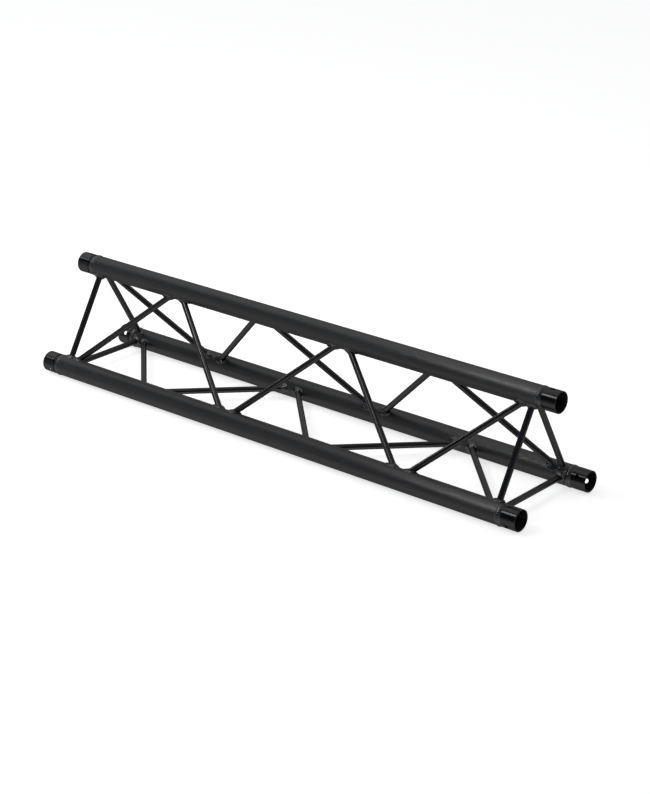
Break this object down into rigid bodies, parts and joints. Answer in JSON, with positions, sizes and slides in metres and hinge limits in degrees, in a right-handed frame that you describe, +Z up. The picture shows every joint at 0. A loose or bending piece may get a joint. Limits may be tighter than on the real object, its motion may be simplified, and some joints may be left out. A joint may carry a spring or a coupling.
{
  "type": "lighting truss section",
  "caption": "Straight triangular lighting truss section: round chord tubes with welded round braces and an open receiver with a pin hole at each chord end.",
  "frame": {"origin": "under the middle of the section, on the surface that it lies on, at the foot of the ring welds", "axes": "+X along the section from its left end to its right end, +Y from the front chord to the back chord, +Z up towards the top chord"},
  "size_m": [1, 0.2208, 0.1963],
  "materials": {
    "chord_coating": "matt black powder coat",
    "brace_coating": "semi-gloss black powder coat",
    "receiver_coating": "glossy black coat",
    "weld_coating": "black powder coat over rippled weld"
  },
  "bodies": {
    "root": {"chord_tube_front": "chord_coating", "receiver_front_left": "receiver_coating", "ring_weld_front_left": "weld_coating", "receiver_front_right": "receiver_coating", "ring_weld_front_right": "weld_coating", "chord_tube_top": "chord_coating", "receiver_top_left": "receiver_coating", "ring_weld_top_left": "weld_coating", "receiver_top_right": "receiver_coating", "ring_weld_top_right": "weld_coating", "chord_tube_back": "chord_coating", "receiver_back_left": "receiver_coating", "ring_weld_back_left": "weld_coating", "receiver_back_right": "receiver_coating", "ring_weld_back_right": "weld_coating", "end_brace_front_left": "brace_coating", "end_brace_front_right": "brace_coating", "diagonal_brace_front_1": "brace_coating", "diagonal_brace_front_2": "brace_coating", "diagonal_brace_front_3": "brace_coating", "diagonal_brace_front_4": "brace_coating", "diagonal_brace_front_5": "brace_coating", "end_brace_back_left": "brace_coating", "end_brace_back_right": "brace_coating", "diagonal_brace_back_1": "brace_coating", "diagonal_brace_back_2": "brace_coating", "diagonal_brace_back_3": "brace_coating", "diagonal_brace_back_4": "brace_coating", "diagonal_brace_back_5": "brace_coating", "end_brace_bottom_left": "brace_coating", "end_brace_bottom_right": "brace_coating", "diagonal_brace_bottom_1": "brace_coating", "diagonal_brace_bottom_2": "brace_coating", "diagonal_brace_bottom_3": "brace_coating", "diagonal_brace_bottom_4": "brace_coating", "diagonal_brace_bottom_5": "brace_coating", "brace_welds_front_side_front_chord": "weld_coating", "brace_welds_front_side_top_chord": "weld_coating", "brace_welds_back_side_top_chord": "weld_coating", "brace_welds_back_side_back_chord": "weld_coating", "brace_welds_bottom_side_back_chord": "weld_coating", "brace_welds_bottom_side_front_chord": "weld_coating"}
  },
  "joints": []
}
